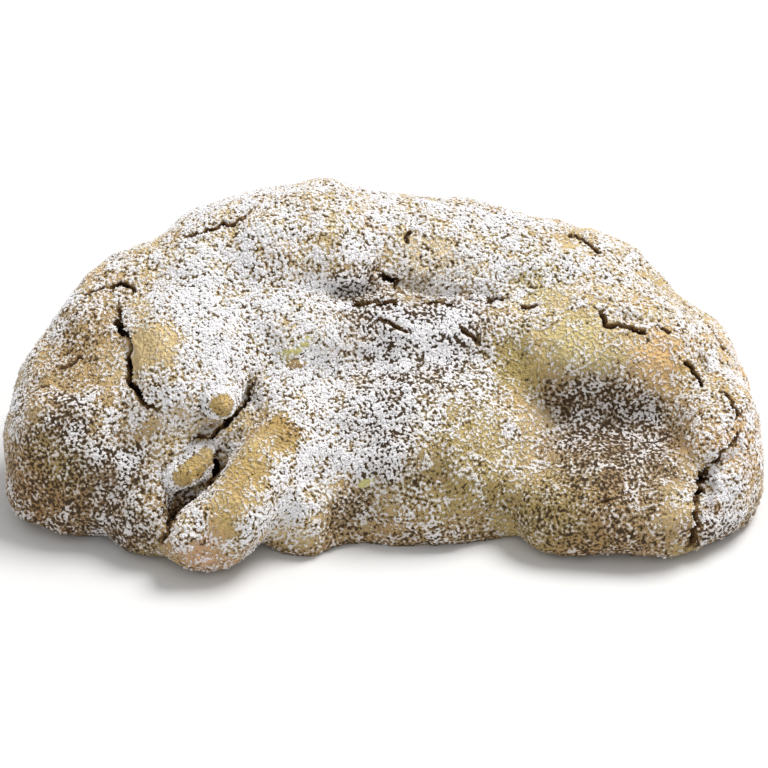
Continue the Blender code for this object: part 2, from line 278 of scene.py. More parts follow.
def nearest_on(points, path):
    """Each point's distance to a path's points, and how far along the path the nearest is, 0 to 1."""
    gap = np.full(len(points), np.inf)
    along = np.zeros(len(points))
    low, high = path.min(0) - 4.0, path.max(0) + 4.0
    close = np.nonzero(((points > low) & (points < high)).all(1))[0]
    for start, end, k in zip(path[:-1], path[1:], range(len(path))):
        run = end - start
        t = np.clip((points[close] - start) @ run / max(run @ run, 1e-12), 0.0, 1.0)
        d = np.linalg.norm(points[close] - start - t[:, None] * run, axis=1)
        better = d < gap[close]
        gap[close[better]] = d[better]
        along[close[better]] = (k + t[better]) / (len(path) - 1)
    return gap, along


def distance_to_all(points, all_paths):
    return np.min([nearest_on(points, path)[0] for path in all_paths], axis=0)


def heal_near(obj, all_paths, reach, times):
    """Smooths the skin near some paths, fully on them and less towards the reach."""
    points, _ = points_and_normals(obj.data)
    weights = 1.0 - ease(0.6 * reach, reach, distance_to_all(points, all_paths))
    group = obj.vertex_groups.new(name="near")
    for k in np.nonzero(weights > 0.01)[0]:
        group.add([int(k)], float(weights[k]), "REPLACE")
    heal = obj.modifiers.new("heal", "SMOOTH")
    heal.vertex_group = group.name
    heal.factor = 0.5
    heal.iterations = times
    apply_modifiers(obj)
    obj.vertex_groups.clear()


def refine_near(obj, all_paths, reach):
    """Divides in four the squares that lie near some paths."""
    points, _ = points_and_normals(obj.data)
    near = (distance_to_all(points, all_paths) < reach) & (points[:, 2] > BASE_BAND)
    bm = bmesh.new()
    bm.from_mesh(obj.data)
    bm.verts.ensure_lookup_table()
    edges = [e for e in bm.edges if near[e.verts[0].index] and near[e.verts[1].index]]
    bmesh.ops.subdivide_edges(bm, edges=edges, cuts=1, use_grid_fill=True)
    bm.to_mesh(obj.data)
    bm.free()


nub_paths = [np.array(row[:2]) for row in NUBS.values()]
heal_near(skin, [paths[name] for name in OPEN_SKIN], HEAL_REACH, HEAL_TIMES)
crack_paths = list(lay_cracks(skin.data).values())
refine_near(skin, nub_paths, NUB_REACH)
refine_near(skin, crack_paths, WIDE_REACH)
refine_near(skin, crack_paths, CLOSE_REACH)
print("net with finer strips:", len(skin.data.vertices), "points")

# %% Raise the nubs
RING = 0.35  # depth of the furrow round a nub, mm
RING_OFF = 0.15  # how far outside the nub it is deepest, mm
RING_WIDTH = 0.28  # mm


def raise_nub(mesh, start, end, radius, height):
    """A round or long dome with a narrow furrow round it, lifted the way the skin faces there."""
    points, normals = points_and_normals(mesh)
    gap, _ = nearest_on(points, np.array([start, end]))
    up = normals[gap < 0.5 * radius].mean(0)
    up /= np.linalg.norm(up)
    dome = height * np.sqrt(np.clip(1.0 - (gap / radius) ** 2, 0.0, None))
    ring = RING * np.exp(-((gap - radius - RING_OFF) / RING_WIDTH) ** 2)
    put_points(mesh, points + up * (dome - ring)[:, None])
    return np.array([start, end]) + up * height


nub_caps = {name: raise_nub(skin.data, *row) for name, row in NUBS.items()}

# %% [markdown]
# ## The relief of the skin
#
# Squeezed dough is never smooth: it has soft dents as wide as a fingertip, finer puckers and grainy
# crumbs of almond. Each size is one layer of noise along the normals. Where the dough was torn, in the
# gap beside the nose, under the ridge and in the deep split at the right end, the fine layers stand
# higher, so the place looks crumbly.

# %% Dents, puckers and crumbs
RELIEF = [  # wavelength, height and the noise's own place
    (3.6, 0.18, 11.0),
    (1.7, 0.12, 23.0),
    (0.9, 0.08, 37.0),
    (0.55, 0.05, 51.0),
]
FINE = 1.0  # a shorter wavelength than this counts as fine, mm
CRUMBLY = [  # place and radius in mm
    ((-16.5, -13.0, 5.0), 3.0),
    ((-14.0, -9.0, 9.0), 2.5),
    ((1.0, 1.5, 16.0), 4.0),
    ((28.0, -13.0, 6.0), 2.0),
]
CRUMBLE = 1.8  # how much higher the fine layers stand there


def soft_patch(points, centre, radius):
    """1 in the middle of a round patch, 0.4 at its radius and 0 outside it."""
    return np.exp(-((np.linalg.norm(points - np.array(centre), axis=1) / radius) ** 3))


points, normals = points_and_normals(skin.data)
off_base = ease(0.1, 0.8, points[:, 2])
lift = np.zeros(len(points))
crumbly = np.max([soft_patch(points, *patch) for patch in CRUMBLY], axis=0)
for wavelength, height, place in RELIEF:
    torn = CRUMBLE * crumbly if wavelength < FINE else 0.0
    lift += height * (1.0 + torn) * waves(points, wavelength, place)
put_points(skin.data, points + normals * (lift * off_base)[:, None])
print("relief from", round(lift.min(), 2), "to", round(lift.max(), 2), "mm")

# %% Cut the cracks
WALL = 0.20  # width of a crack's sloping wall, mm
CUT_REACH = 2.0  # nothing further from the path is moved, mm
UNEVEN = 1.1  # how much the width swells and shrinks on the way
SWELL = 0.6  # length of one swelling, mm
NARROWEST = 0.55  # of the width that the table gives
FADE = 2.2  # how soon it is at full depth from its ends; 1 is at the middle only
END_WIDTH = 0.35  # the width at its ends, of that in the middle
LIP = 0.3  # how far the lip stands from the edge, and how wide it is, mm


def cut_crack(mesh, path, half_width, depth, lip):
    """A groove with steep walls and raised lips, as wide and deep as noise lets it be here and there."""
    points, normals = points_and_normals(mesh)
    gap, along = nearest_on(points, path)
    near = np.nonzero(gap < CUT_REACH)[0]
    uneven = np.clip(1.0 + UNEVEN * waves(points[near], SWELL, 5.0), NARROWEST, None)
    taper = np.clip(np.sin(np.pi * along[near]) * FADE, 0.0, 1.0)
    width = half_width * uneven * (END_WIDTH + (1.0 - END_WIDTH) * taper)
    groove = depth * taper * (1.0 - ease(-WALL, WALL, gap[near] - width))
    lips = lip * taper * np.exp(-((gap[near] - width - LIP) / LIP) ** 2)
    points[near] += normals[near] * (lips - groove)[:, None]
    put_points(mesh, points)
    depth_here = np.zeros(len(points))
    depth_here[near] = groove / depth
    return depth_here


paths = lay_cracks(skin.data)
in_crack = np.zeros(len(skin.data.vertices))
for name, (half_width, depth, lip, _) in CRACKS.items():
    in_crack = np.maximum(in_crack, cut_crack(skin.data, paths[name], half_width, depth, lip))
print("points inside cracks:", int((in_crack > 0.3).sum()))

# %% [markdown]
# ## Where the sugar lies and where the dough shows
#
# The cookie was rolled in sugar before it was baked, so the sugar is not a plain sprinkle from above. It
# is thick in the saddle and on the flank of the nose, thin on the sides that were pressed or rubbed, and
# gone from the nubs. Round patches say how much of the skin is white in each place, and noise makes their
# edges ragged. A later patch lies over the ones before it. The result is one number a point, kept on the
# mesh as an attribute that the material and the loose grains both read.

# %% Patches of sugar and of bare dough
SUGAR = [  # place, radius in mm, strength, and the share of the skin that is white there
    ((-2.0, 7.0, 20.0), 14.0, 0.8, 0.66),
    ((-27.0, -9.0, 9.0), 9.0, 0.9, 0.44),
    ((-31.0, -13.0, 4.0), 7.0, 0.9, 0.14),
    ((17.0, -17.0, 2.0), 9.0, 0.9, 0.12),
    ((1.0, -4.5, 13.0), 9.0, 0.9, 0.76),
    ((6.0, -12.0, 6.0), 5.5, 0.8, 0.46),
    ((18.5, -6.5, 9.5), 7.0, 0.9, 0.26),
    ((20.5, -10.5, 8.0), 5.5, 0.9, 0.20),
    ((5.3, -7.3, 11.4), 3.5, 0.8, 0.56),
    ((9.5, -9.5, 9.2), 3.5, 0.8, 0.42),
    ((22.5, -7.0, 9.3), 3.5, 0.8, 0.32),
    ((-14.0, -3.0, 17.0), 6.5, 1.0, 0.92),
    ((-6.5, -10.3, 8.0), 5.0, 1.0, 0.82),
    ((-8.5, -14.6, 4.0), 3.2, 0.9, 0.68),
    ((31.0, -8.0, 9.0), 6.5, 0.9, 0.46),
    ((31.0, -13.5, 4.5), 3.5, 0.8, 0.62),
    ((-27.0, -3.0, 14.5), 3.5, 0.8, 0.28),
    ((-28.5, -6.5, 12.8), 3.0, 0.8, 0.24),
    ((-24.0, -11.5, 10.0), 3.0, 0.8, 0.58),
    ((-20.5, -13.0, 8.0), 3.0, 0.8, 0.54),
    ((-24.0, -14.5, 3.5), 4.0, 0.7, 0.24),
    ((-27.5, -12.3, 8.5), 2.8, 0.9, 0.14),
    ((-31.0, -12.0, 6.0), 3.0, 1.0, 0.12),
    ((-18.0, -14.0, 4.0), 2.0, 1.0, 0.08),
    ((-20.5, -6.0, 16.5), 2.5, 1.0, -0.15),
    ((-21.0, -3.2, 17.2), 1.9, 0.7, 0.30),
    ((-9.3, -10.5, 10.7), 2.2, 1.0, -0.40),
    ((-10.5, -12.5, 10.0), 1.9, 0.9, 0.10),
    ((-12.0, -14.7, 9.2), 1.8, 1.0, -0.25),
    ((-13.2, -16.7, 8.0), 1.7, 0.9, 0.03),
    ((-14.0, -18.4, 6.2), 1.5, 0.9, 0.03),
    ((-15.6, -19.2, 2.8), 1.6, 0.9, 0.22),
    ((-17.0, -19.0, 4.5), 1.2, 0.8, 0.55),
    ((-7.7, -3.8, 14.4), 1.1, 0.8, 0.25),
    ((-3.0, -13.0, 4.0), 2.6, 0.9, 0.24),
    ((5.0, -12.5, 7.4), 2.2, 0.8, 0.22),
    ((8.5, -13.0, 4.6), 2.6, 0.9, 0.12),
    ((13.5, -14.8, 4.8), 3.0, 1.0, 0.00),
    ((19.0, -16.7, 3.4), 4.0, 0.9, 0.03),
    ((23.5, -17.0, 2.8), 3.0, 0.8, 0.18),
    ((11.7, -3.4, 12.4), 2.3, 1.0, -0.12),
    ((-5.6, -3.4, 13.9), 2.8, 0.9, 0.98),
    ((5.0, 4.3, 17.6), 3.0, 0.8, 0.66),
    ((4.0, 1.5, 16.2), 2.5, 0.7, 0.46),
    ((-1.5, 1.5, 16.5), 2.0, 0.7, 0.50),
    ((-16.4, -10.9, 11.0), 1.5, 0.7, 0.42),
    ((17.0, -3.5, 15.0), 2.8, 0.8, 0.26),
    ((17.0, -2.0, 15.7), 1.5, 0.8, 0.18),
    ((22.5, -4.0, 14.5), 2.0, 0.8, 0.38),
    ((25.0, -4.5, 13.0), 2.2, 1.0, 0.06),
    ((27.2, -2.3, 13.8), 1.5, 0.6, 0.34),
    ((15.3, 1.7, 16.4), 1.5, 0.9, 0.04),
    ((12.7, 4.2, 16.8), 1.5, 0.8, 0.32),
    ((15.8, 5.7, 18.0), 2.2, 0.8, 0.78),
    ((18.4, 3.6, 17.2), 2.0, 0.7, 0.70),
    ((-14.0, 6.5, 21.5), 5.0, 0.8, 0.82),
    ((5.0, 4.4, 17.8), 2.5, 0.7, 0.66),
    ((10.0, 7.5, 18.8), 4.0, 0.7, 0.80),
    ((25.0, 4.5, 14.8), 3.5, 0.8, 0.46),
    ((24.5, -6.5, 9.5), 2.5, 0.7, 0.26),
    ((3.0, -13.5, 4.5), 2.0, 0.8, 0.38),
    ((-27.5, -10.0, 11.3), 2.5, 0.8, 0.52),
    # the back, which was rolled in the sugar and rubbed by the fingers
    ((-20.0, 14.0, 9.0), 5.0, 0.9, 0.22),
    ((-29.0, 6.0, 8.0), 4.0, 0.9, 0.12),
    ((-9.0, 17.5, 9.0), 4.0, 0.8, 0.80),
    ((2.0, 15.0, 15.0), 4.5, 0.8, 0.34),
    ((8.0, 18.0, 6.0), 5.0, 0.8, 0.78),
    ((16.0, 15.0, 9.0), 4.5, 0.9, 0.16),
    ((25.0, 10.0, 6.0), 4.5, 0.8, 0.48),
    ((31.5, 2.0, 7.0), 4.0, 0.8, 0.24),
]
MEAN_SUGAR = 0.56
RUBBED_FOOT = 0.35  # how much less of the skin is white down at the tray
FOOT_BAND = 6.0  # height of the rubbed foot, mm
DRIFTS = ((0.25, 4.0, 71.0), (0.40, 1.3, 83.0))  # strength, wavelength in mm, and the noise's own place
WIDE_RAG = 2.4  # wavelengths of the ragged edges of patches, mm
FINE_RAG = 0.8
FINE_SHARE = 0.45
BARE_CRACK = 1.5  # what a crack takes from the sugar


def ragged(points, place):
    """The points moved about by noise, so that a patch asked about there has a ragged edge."""
    wide = np.stack([waves(points, WIDE_RAG, place + 7.0 * k) for k in range(3)], axis=1)
    fine = np.stack([waves(points, FINE_RAG, place + 30.0 + 7.0 * k) for k in range(3)], axis=1)
    return points + wide + FINE_SHARE * fine


def sugar_at(points):
    """The share of the skin that is white at each point. Below 0 is quite bare."""
    broken = ragged(points, 61.0)
    amount = MEAN_SUGAR - RUBBED_FOOT * ease(FOOT_BAND, 1.0, points[:, 2])
    for centre, radius, strength, target in SUGAR:
        share = strength * soft_patch(broken, centre, radius)
        amount += (target - amount) * share
    amount += sum(strength * waves(points, wavelength, place) for strength, wavelength, place in DRIFTS)
    for name, cap in nub_caps.items():
        radius = NUBS[name][2]
        gap, _ = nearest_on(points + 0.3 * (broken - points), cap)
        amount += (1.0 - amount) * np.exp(-((gap - 1.1 * radius) / 0.5) ** 2)
        amount -= (amount + 0.1) * (1.0 - ease(0.5 * radius, 0.8 * radius, gap))
    return amount


points, normals = points_and_normals(skin.data)
sugar = sugar_at(points) - BARE_CRACK * ease(0.05, 0.4, in_crack)
print("sugar covers", round(100 * np.clip(sugar, 0, 1)[points[:, 2] > 0.5].mean()), "% of the shown skin")

# %% The dough's colours, with painted shade
# The colours are linear light.
STRAW = (0.67, 0.51, 0.26)
CREAM = (0.78, 0.64, 0.42)
HONEY = (0.51, 0.355, 0.13)
AMBER = (0.42, 0.27, 0.085)
ORANGE = (0.70, 0.44, 0.20)
ROSE = (0.60, 0.36, 0.20)
GREEN = (0.64, 0.53, 0.24)
OLIVE = (0.42, 0.32, 0.11)
MOSS = (0.36, 0.26, 0.09)
# Toast brown: the toasted dough's own colour, and also the colour of the painted shade on steep and low
# dough.
TOAST_AND_SHADE = (0.40, 0.26, 0.11)
BROWN = (0.34, 0.19, 0.07)
# A dark earth brown, used as painted shade in the hollows, under the ridge crease and on low faces, over
# dough that is browner there.
EARTH_SHADE = (0.27, 0.18, 0.10)
# The dark brown patches in the right hollow and on the shelf below it, under the ridge crease, in the pit
# left of the nose and on the low left faces are painted shade over dough that is browner there. The others
# are the dough's own tints.
TINTS_AND_SHADE = [  # place, radius in mm, strength and colour
    ((2.5, -3.5, 13.0), 7.5, 0.8, EARTH_SHADE),
    ((6.0, -0.5, 15.3), 4.5, 0.8, EARTH_SHADE),
    ((-2.5, 1.0, 16.2), 3.5, 0.8, EARTH_SHADE),
    ((0.0, -9.5, 8.5), 5.0, 0.9, EARTH_SHADE),
    ((6.0, -9.5, 9.5), 5.0, 0.7, OLIVE),
    ((4.0, -13.5, 5.0), 3.0, 0.7, MOSS),
    ((18.5, -6.5, 9.5), 5.0, 0.9, EARTH_SHADE),
    ((25.0, -8.5, 8.5), 4.5, 0.8, EARTH_SHADE),
    ((20.0, -12.0, 7.5), 6.0, 0.8, EARTH_SHADE),
    ((19.0, -16.5, 3.5), 5.0, 0.6, BROWN),
    ((-27.0, -9.0, 9.0), 8.0, 0.7, TOAST_AND_SHADE),
    ((-24.0, -14.5, 3.0), 5.0, 0.8, EARTH_SHADE),
    ((-31.0, -12.5, 5.0), 5.0, 0.9, BROWN),
    ((-28.0, -12.0, 8.5), 3.0, 0.8, MOSS),
    ((-20.5, -13.0, 7.0), 4.0, 0.6, TOAST_AND_SHADE),
    ((-6.5, -10.3, 8.5), 4.5, 0.8, HONEY),
    ((-3.5, -13.5, 4.0), 2.6, 0.6, EARTH_SHADE),
    ((-24.0, -13.0, 7.8), 3.0, 0.7, EARTH_SHADE),
    ((-26.5, -2.5, 15.0), 5.0, 0.9, TOAST_AND_SHADE),
    ((-17.5, -10.8, 11.4), 2.5, 0.6, CREAM),
    ((5.0, 4.3, 17.6), 3.5, 0.8, CREAM),
    ((-20.3, -5.8, 16.4), 4.0, 0.9, STRAW),
    ((-8.7, -10.1, 10.8), 2.5, 0.9, AMBER),
    ((-12.0, -14.7, 9.2), 2.6, 0.9, HONEY),
    ((-14.0, -18.0, 6.4), 2.2, 0.9, HONEY),
    ((-15.8, -19.2, 3.0), 2.4, 0.9, ROSE),
    ((-18.0, -14.0, 4.0), 2.2, 0.9, BROWN),
    ((-14.3, -10.4, 13.4), 1.8, 1.0, HONEY),
    ((-17.0, -13.2, 8.6), 2.4, 1.0, HONEY),
    ((-7.7, -3.8, 14.4), 1.6, 0.8, GREEN),
    ((11.7, -3.4, 12.4), 3.0, 0.9, OLIVE),
    ((17.0, -3.4, 14.8), 3.2, 0.8, GREEN),
    ((25.0, -4.3, 13.4), 3.3, 0.8, ORANGE),
    ((13.5, 3.5, 17.0), 3.2, 0.9, GREEN),
    ((9.0, -12.8, 5.5), 3.0, 0.7, OLIVE),
    ((14.0, -15.0, 4.5), 4.0, 0.9, MOSS),
    ((29.5, -5.0, 12.0), 4.0, 0.7, HONEY),
    ((30.5, -9.5, 8.0), 4.0, 0.8, ORANGE),
    ((29.5, -15.0, 3.0), 3.0, 0.7, BROWN),
    ((-5.7, -3.4, 14.0), 3.0, 0.9, CREAM),
    ((25.0, 4.5, 14.8), 4.0, 0.7, HONEY),
    ((-8.5, -14.6, 4.0), 3.0, 0.8, STRAW),
    ((-27.5, -10.0, 11.3), 2.5, 0.8, EARTH_SHADE),
    # the back
    ((-20.0, 14.0, 9.0), 6.0, 0.8, TOAST_AND_SHADE),
    ((-29.0, 6.0, 8.0), 5.0, 0.8, BROWN),
    ((2.0, 15.0, 15.0), 5.0, 0.7, HONEY),
    ((16.0, 15.0, 9.0), 5.0, 0.8, OLIVE),
    ((25.0, 10.0, 4.0), 5.0, 0.7, EARTH_SHADE),
    ((-4.0, 17.0, 3.0), 6.0, 0.7, EARTH_SHADE),
    ((31.5, 2.0, 7.0), 4.5, 0.8, ORANGE),
]

MOTTLES = [  # colour, wavelength in mm, and the noise's own place
    (ORANGE, 2.6, 13.0),
    (GREEN, 3.4, 29.0),
    (TOAST_AND_SHADE, 1.9, 43.0),
]
MOTTLE_STRENGTH = 0.4
SUGAR_WHITE = (0.90, 0.89, 0.90)


def dough_colours(points, normals):
    """The bare dough's colour: straw above, painted shade in toast brown where it is steep or low, and tinted
    in places, some of them painted shade.
    """
    broken = ragged(points, 91.0)
    # Painted shade: dough that is steep or low is darkened towards toast brown, as if lit from above.
    steep = 0.75 * ease(0.75, 0.1, normals[:, 2]) + 0.3 * ease(5.0, 0.0, points[:, 2])
    steep = np.clip(steep, 0.0, 1.0)[:, None]
    colour = np.array(STRAW) * (1.0 - steep) + np.array(TOAST_AND_SHADE) * steep
    for tint, wavelength, place in MOTTLES:
        share = MOTTLE_STRENGTH * ease(0.05, 0.45, waves(points, wavelength, place))[:, None]
        colour += (np.array(tint) - colour) * share
    for centre, radius, strength, tint in TINTS_AND_SHADE:
        share = (strength * soft_patch(broken, centre, radius))[:, None]
        colour += (np.array(tint) - colour) * share
    return colour


colours = dough_colours(points, normals)
thick_sugar = np.clip(0.45 + 0.75 * sugar, 0.4, 1.0)[:, None]  # where little lies, the dough shows through
sugar_tone = colours + (np.array(SUGAR_WHITE) - colours) * thick_sugar
brightness = colours @ np.array([0.21, 0.72, 0.07])
# Painted shade in the gaps between the sugar heaps: dark pits where the dough is dark, and so in pale dough
# where much sugar lies.
pit_shade_share = np.maximum(ease(0.44, 0.22, brightness), 0.55 * ease(0.25, 0.50, sugar))
print("dough colours from", colours.min(0).round(2), "to", colours.max(0).round(2))

# %% Keep them on the mesh, and back to metres


def keep(mesh, name, values, kind):
    """Writes one value a point to the mesh as an attribute."""
    layer = mesh.attributes.new(name, kind, "POINT")
    field = "value" if kind == "FLOAT" else "color"
    layer.data.foreach_set(field, np.asarray(values, np.float32).ravel())


def to_metres(obj):
    points, _ = points_and_normals(obj.data)
    put_points(obj.data, points * MM)


keep(skin.data, "sugar", sugar, "FLOAT")
keep(skin.data, "crack", in_crack, "FLOAT")
keep(skin.data, "pit_shade_share", pit_shade_share, "FLOAT")
keep(skin.data, "dough", np.c_[colours, np.ones(len(colours))], "FLOAT_COLOR")
keep(skin.data, "sugar_tone", np.c_[sugar_tone, np.ones(len(colours))], "FLOAT_COLOR")
to_metres(skin)
skin.data.shade_smooth()
print("skin:", sum(len(p.vertices) - 2 for p in skin.data.polygons), "triangles")

# %% [markdown]
# ## Nodes as Python
#
# The finishes are sums and products of patterns. A small class lets them be written that way: it wraps a
# socket, and each operator adds one Math node. It works on a material's nodes and on geometry nodes, so
# that the loose grains can be asked to lie just where the material is white.

# %% Sockets that can be added and multiplied


class Value:
    """A number that changes over the surface: one output socket."""

    def __init__(self, graph, socket):
        self.graph = graph
        self.socket = socket

    def math(self, operation, first, second):
        return self.graph.node("ShaderNodeMath", {"operation": operation}, [first, second])

    def __add__(self, other):
        return self.math("ADD", self, other)

    def __sub__(self, other):
        return self.math("SUBTRACT", self, other)

    def __mul__(self, other):
        return self.math("MULTIPLY", self, other)

    def __radd__(self, other):
        return self.math("ADD", other, self)

    def __rsub__(self, other):
        return self.math("SUBTRACT", other, self)

    def __rmul__(self, other):
        return self.math("MULTIPLY", other, self)

    def step(self, low, high):
        """0 below low, 1 above high, and a soft step between them."""
        settings = {"interpolation_type": "SMOOTHSTEP"}
        return self.graph.node("ShaderNodeMapRange", settings, {"Value": self, 1: low, 2: high})


class Graph:
    """A tree of nodes, added one call at a time."""

    def __init__(self, tree):
        self.tree = tree

    def node(self, kind, settings=None, inputs=None, output=0):
        """Adds a node, makes its settings, then fills its inputs with numbers or links."""
        made = self.tree.nodes.new(kind)
        for key, value in (settings or {}).items():
            setattr(made, key, value)
        pairs = inputs.items() if isinstance(inputs, dict) else enumerate(inputs or [])
        for key, value in pairs:
            self.feed(made.inputs[key], value)
        return Value(self, made.outputs[output]) if made.outputs else None

    def feed(self, socket, value):
        if isinstance(value, Value):
            self.tree.links.new(value.socket, socket)
        elif socket.type == "RGBA":
            socket.default_value = (*value, 1.0)
        else:
            socket.default_value = value

    def attribute(self, name, output):
        """Reads a mesh attribute. Output 0 is its colour and 2 its number."""
        return self.node("ShaderNodeAttribute", {"attribute_name": name}, output=output)

    def speckle(self, place, size, detail=2.0, roughness=0.5):
        """Noise with lumps of about one size in mm, 0 to 1 and 0.5 on average."""
        numbers = {"Vector": place, "Scale": 1.0 / (size * MM), "Detail": detail, "Roughness": roughness}
        return self.node("ShaderNodeTexNoise", {}, numbers)

    def mix(self, share, first, second):
        """A colour between two colours. The Mix node's colour sockets are 6 and 7."""
        settings = {"data_type": "RGBA"}
        return self.node("ShaderNodeMix", settings, {0: share, 6: first, 7: second}, output=2)

    def shade(self, colour, amount):
        """A colour times a number."""
        settings = {"operation": "SCALE"}
        return self.node("ShaderNodeVectorMath", settings, {0: colour, "Scale": amount})


def new_material(name):
    """A material's nodes, its shader, and the place of each point in metres."""
    material = bpy.data.materials.new(name)
    material.use_nodes = True
    g = Graph(material.node_tree)
    return material, g, material.node_tree.nodes["Principled BSDF"], g.node("ShaderNodeTexCoord", output=3)


print("node maths ready")

# %% [markdown]
# ## The crust of sugar
#
# Icing sugar that has met damp dough is neither a film nor a scatter. It is a net of small white heaps
# with brown gaps. One noise makes the heaps and a wider one lets them drift together. Their sum is cut at
# a level that the mesh's sugar number moves, so that the same pattern is bare, speckled or white. The
# noise is spread evenly round 0.5, and SPREAD turns a share of the skin into a level. The gaps are
# painted darker than open dough, as painted shade between the heaps.

# %% The material of the skin
# Painted shade inside cracks: the walls a darker brown and the floors near black.
CRACK_FLOOR_SHADE = (0.030, 0.016, 0.007)
CRACK_WALL_SHADE = (0.19, 0.105, 0.040)
# Near-black brown, painted as shade in the pits between the sugar heaps.
PIT_SHADE_BROWN = (0.050, 0.028, 0.011)
SPREAD = 0.20
COVER_EDGE = (-0.025, 0.040)  # from bare to white, in heap height over the level
PIT_EDGE = (0.25, 0.37)  # from painted pit shade to open dough, in heap height
PIT_RISE = 0.17  # how much higher the painted pit shade reaches where it is strong
BUMP = 0.15  # height of the fine relief, mm


def sugar_heaps(g, place):
    """How high the heaps of sugar stand, 0 to 1. The turn keeps the noise's grid off the flat places."""
    turned = {"Vector": place, "Rotation": (0.6, 0.5, 0.3)}
    place = g.node("ShaderNodeVectorRotate", {"rotation_type": "EULER_XYZ"}, turned)
    heaps = g.speckle(place, 0.29, 1.4, 0.4)
    drift = g.speckle(place, 1.0)
    return heaps * 0.80 + drift * 0.20


def above_level(pile, amount):
    """How far a heap stands above the level that a share of sugar asks for, for nodes and numbers alike."""
    return pile - (0.5 + SPREAD * 0.5 - amount * SPREAD)


def sugared_crust():
    material, g, shader, place = new_material("sugared_crust")
    amount = g.attribute("sugar", 2)
    crack = g.attribute("crack", 2)
    dough = g.attribute("dough", 0)
    pile = sugar_heaps(g, place)
    cover = above_level(pile, amount).step(*COVER_EDGE)
    pit_shade_share = g.attribute("pit_shade_share", 2)
    pit_shade = 1.0 - (pile - pit_shade_share * PIT_RISE).step(*PIT_EDGE)

    mottle = g.speckle(place, 1.4, 4.0, 0.6)
    grain = g.speckle(place, 0.34, 2.0, 0.5)
    toned = g.shade(dough, 0.25 + mottle * 0.60 + grain * 0.90)
    # Painted shade: the pits between the heaps are darkened.
    toned = g.mix(pit_shade, toned, PIT_SHADE_BROWN)
    # Painted shade in the cracks, darker towards their floors.
    toned = g.mix(crack.step(0.02, 0.30), toned, CRACK_WALL_SHADE)
    toned = g.mix(crack.step(0.30, 0.85), toned, CRACK_FLOOR_SHADE)
    base = g.mix(cover, toned, g.attribute("sugar_tone", 0))

    height = pile.step(0.34, 0.66) + cover * 0.4 + grain * 0.2
    bump = g.node("ShaderNodeBump", {}, {"Strength": 1.0, "Distance": BUMP * MM, "Height": height})
    g.feed(shader.inputs["Base Color"], base)
    g.feed(shader.inputs["Roughness"], 0.62 + cover * 0.3)
    g.feed(shader.inputs["Normal"], bump)
    shader.inputs["Specular IOR Level"].default_value = 0.25
    return material


crust = sugared_crust()
skin.data.materials.clear()
skin.data.materials.append(crust)
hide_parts("cookie")
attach(skin, BODY)
print("crust:", len(crust.node_tree.nodes), "nodes")

# %% [markdown]
# ## Loose grains
#
# The pattern is flat, so on its own the sugar would look painted. Grains are set over it: small rough
# octahedra with random turns and stretches, half sunk in the skin. They are offered many places, thick
# where the sugar number is high, and they keep those where the material's own heaps are white, which
# geometry nodes can tell. Each size is one mesh, and every random number comes from a seeded generator.

# %% Where the heaps are


def heaps_at(points):
    """The height of the sugar heaps at many points, from the same noise as the material's."""
    tree = bpy.data.node_groups.new("read_heaps", "GeometryNodeTree")
    for way in ("INPUT", "OUTPUT"):
        tree.interface.new_socket("Geometry", in_out=way, socket_type="NodeSocketGeometry")
    g = Graph(tree)
    pile = sugar_heaps(g, g.node("GeometryNodeInputPosition"))
    kept = g.node("GeometryNodeStoreNamedAttribute", {"data_type": "FLOAT", "domain": "POINT"},
                  {"Geometry": g.node("NodeGroupInput"), "Name": "pile", "Value": pile})
    g.node("NodeGroupOutput", {}, [kept])
    mesh = bpy.data.meshes.new("probe")
    mesh.from_pydata(points, [], [])
    probe = bpy.data.objects.new("probe", mesh)
    bpy.context.scene.collection.objects.link(probe)
    probe.modifiers.new("read", "NODES").node_group = tree
    graph = bpy.context.evaluated_depsgraph_get()
    graph.update()
    layer = probe.evaluated_get(graph).data.attributes["pile"]
    heights = np.empty(len(points), np.float32)
    layer.data.foreach_get("value", heights)
    bpy.data.objects.remove(probe)
    return heights.astype(float)


def places_on(mesh, rng, count, density):
    """Random places on a mesh, more where its points have a high density, and how the skin faces there."""
    mesh.calc_loop_triangles()
    corners = np.empty(len(mesh.loop_triangles) * 3, np.int32)
    mesh.loop_triangles.foreach_get("vertices", corners)
    corners = corners.reshape(-1, 3)
    points, normals = points_and_normals(mesh)
    a, b, c = points[corners[:, 0]], points[corners[:, 1]], points[corners[:, 2]]
    weight = np.linalg.norm(np.cross(b - a, c - a), axis=1) * density[corners].mean(1)
    chosen = rng.choice(len(corners), count, p=weight / weight.sum())
    u, v = rng.random((2, count))
    flip = u + v > 1
    u[flip], v[flip] = 1 - u[flip], 1 - v[flip]
    share = np.stack([1 - u - v, u, v], 1)[:, :, None]
    at = corners[chosen]
    return [(values[at] * share).sum(1) for values in (points, normals, sugar[:, None], sugar_tone)]


# %% One grain copied many times
OFFERED = 4  # places offered for each grain that is wanted on the heaps
KEPT_OVER = -0.005  # a grain is kept where the heap stands higher over its level than this
STRETCH = (0.7, 1.25)


def rough_grain():
    """The points and triangles of an octahedron of radius 1."""
    bm = bmesh.new()
    bmesh.ops.create_uvsphere(bm, u_segments=4, v_segments=2, radius=1.0)
    verts = np.array([v.co[:] for v in bm.verts])
    faces = np.array([[v.index for v in f.verts] for f in bm.faces])
    bm.free()
    return verts, faces


def random_turns(rng, count):
    """Turns in every direction alike, as 3 by 3 tables."""
    q = rng.normal(size=(count, 4))
    w, x, y, z = (q / np.linalg.norm(q, axis=1)[:, None]).T
    return np.stack([
        np.stack([1 - 2 * (y * y + z * z), 2 * (x * y - z * w), 2 * (x * z + y * w)], 1),
        np.stack([2 * (x * y + z * w), 1 - 2 * (x * x + z * z), 2 * (y * z - x * w)], 1),
        np.stack([2 * (x * z - y * w), 2 * (y * z + x * w), 1 - 2 * (x * x + y * y)], 1)], 1)


